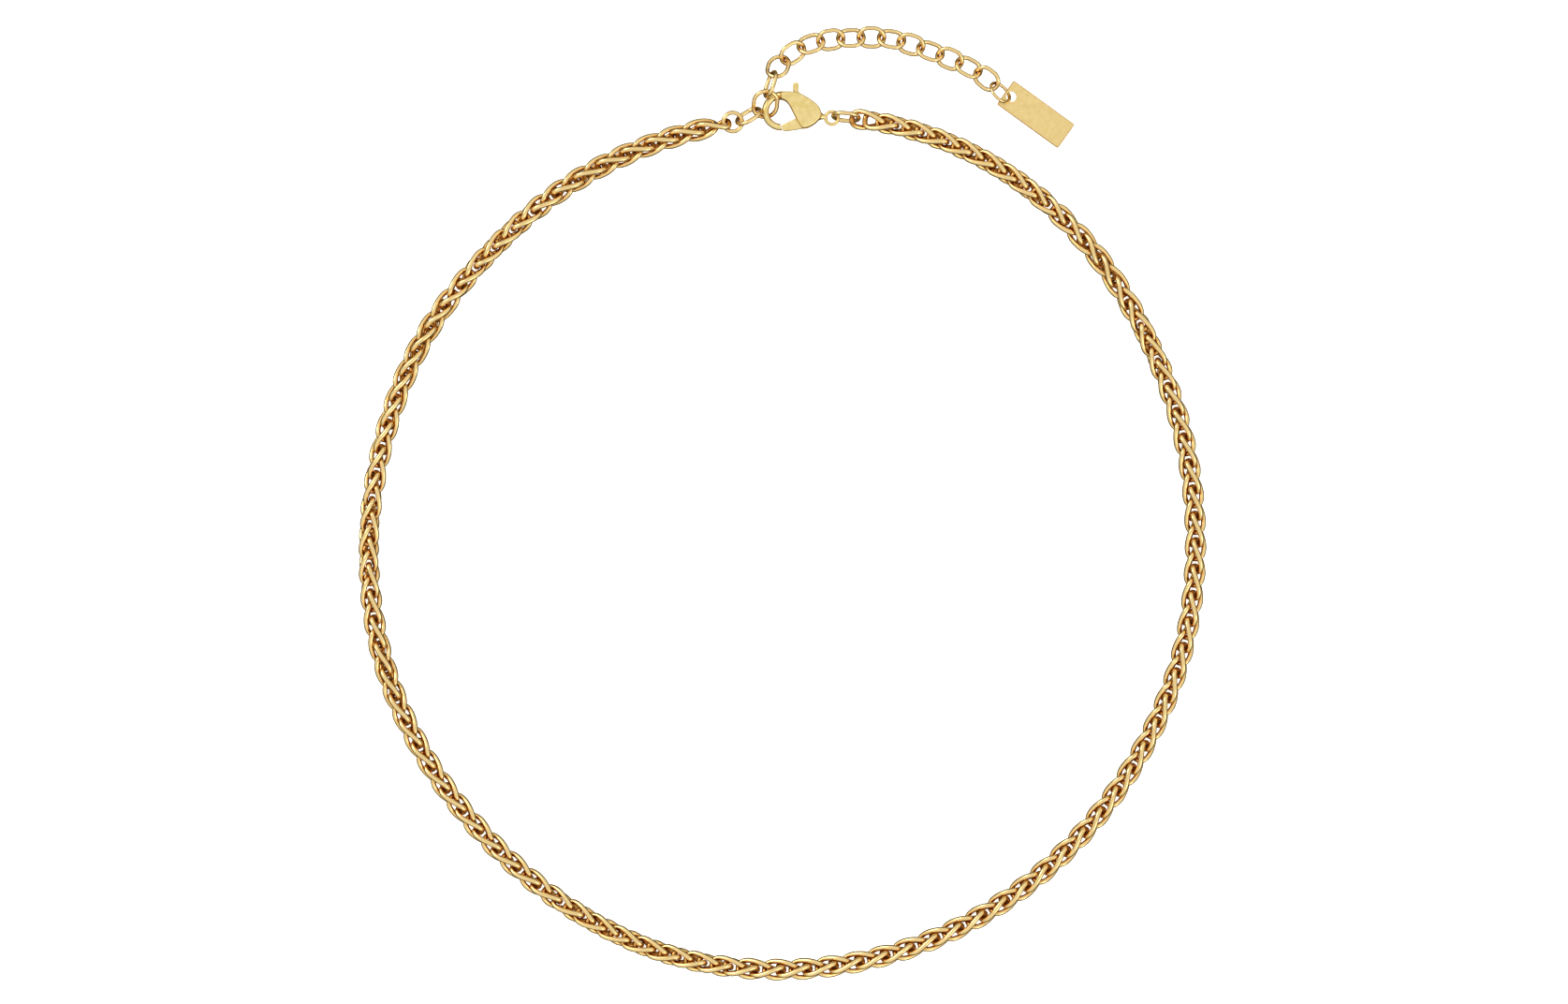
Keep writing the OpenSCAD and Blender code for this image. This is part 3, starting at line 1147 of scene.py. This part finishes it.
def form_of(piece):
    mesh = piece.data
    points = np.empty(3 * len(mesh.vertices))
    mesh.vertices.foreach_get("co", points)
    return points.reshape(-1, 3), [list(face.vertices) for face in mesh.polygons]


bent = {}
for i, (name, shape) in enumerate(rings.items()):
    bent[name] = bend_ring(*shape, first_seam + seam_shift * (i % 4))
around = solid_of([*bent.values(), form_of(clasp), form_of(lever)])
# Each ring's hollows darken its colour with painted shade where it lies against the rings, the
# clasp and the lever.
for name, (points, faces) in bent.items():
    ring = polished_piece(name + "_wire", points, faces, hollows(points, faces, around, ring_reach))
    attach(ring, "necklace")
    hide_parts(name)
print("rings bent:", len(bent))

# %% [markdown]
# ## The tag
# The tag is a bare plate, punched for its ring. A scaled cube would be too crisp for it, so it
# is stamped from an outline with round corners, as the lever is, and its edges are broken by a
# small bevel. Its rim gets painted shade, darker up to where the flat face begins, which draws a
# thin line around it.

# %% Punch the tag
tag_hole_at = Vector((39.05, 69.4, 1.06))
tag_size = (12.9, 5.0, 0.5)
tag_hole_in = 1.27
tag_hole_radius = 0.9
tag_hole_steps = 72
tag_drill_reach = 2
tag_middle = tag_size[0] / 2 - tag_hole_in
tag_tilt = math.radians(3.9)
tag_corner = 0.25
tag_corner_steps = 6
tag_edge = 0.18
tag_sharp_from = 30
rim_width = 0.9 * tag_edge
rim_painted_shade = 0.72


def tag_outline():
    """The tag's outline around its hole, with round corners."""
    corners = []
    half_l, half_w = tag_size[0] / 2 - tag_corner, tag_size[1] / 2 - tag_corner
    for x, y, start in ((1, 1, 0), (-1, 1, 90), (-1, -1, 180), (1, -1, 270)):
        for turn in np.radians(np.linspace(start, start + 90, tag_corner_steps)):
            corner_x = tag_middle + x * half_l + tag_corner * math.cos(turn)
            corner_y = y * half_w + tag_corner * math.sin(turn)
            corners.append((corner_x, corner_y))
    return corners


def shade_rim(mesh):
    """Painted shade on the rim, up to where the flat face begins."""
    away = np.abs([(v.co.x - tag_middle, v.co.y) for v in mesh.vertices])
    on_rim = (away > np.array(tag_size[:2]) / 2 - rim_width).any(axis=1)
    set_painted_shade(mesh, rim_painted_shade * on_rim)


tag = stamp("tag_plate", tag_outline(), tag_size[2] / 2, tag_edge)
cut(tag, rod((0, 0), tag_hole_radius, tag_drill_reach, tag_hole_steps))
# The dark line on the tag's rim is painted shade.
shade_rim(tag.data)
tilt = Matrix.Rotation(tag_tilt, 4, "Y")
heading = Matrix.Rotation(-tag_turn, 4, "Z")
tag_placement = Matrix.Scale(mm, 4) @ Matrix.Translation(tag_hole_at) @ heading @ tilt
finish_metal(tag, tag_placement, tag_sharp_from, brushed_gold)
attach(tag, "necklace")
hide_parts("tag")
print("tag faces:", len(tag.data.polygons))

# %% [markdown]
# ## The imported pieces
# The rivet of the lever is right as it is, and only gets the finish of the casting. The other
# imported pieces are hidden, because a drawn piece replaces each of them, but get it too.

# %% Finish the rivet
for node in nodes.values():
    node.data.materials.clear()
    node.data.materials.append(cast_gold)
print("packed pieces finished:", len(nodes))
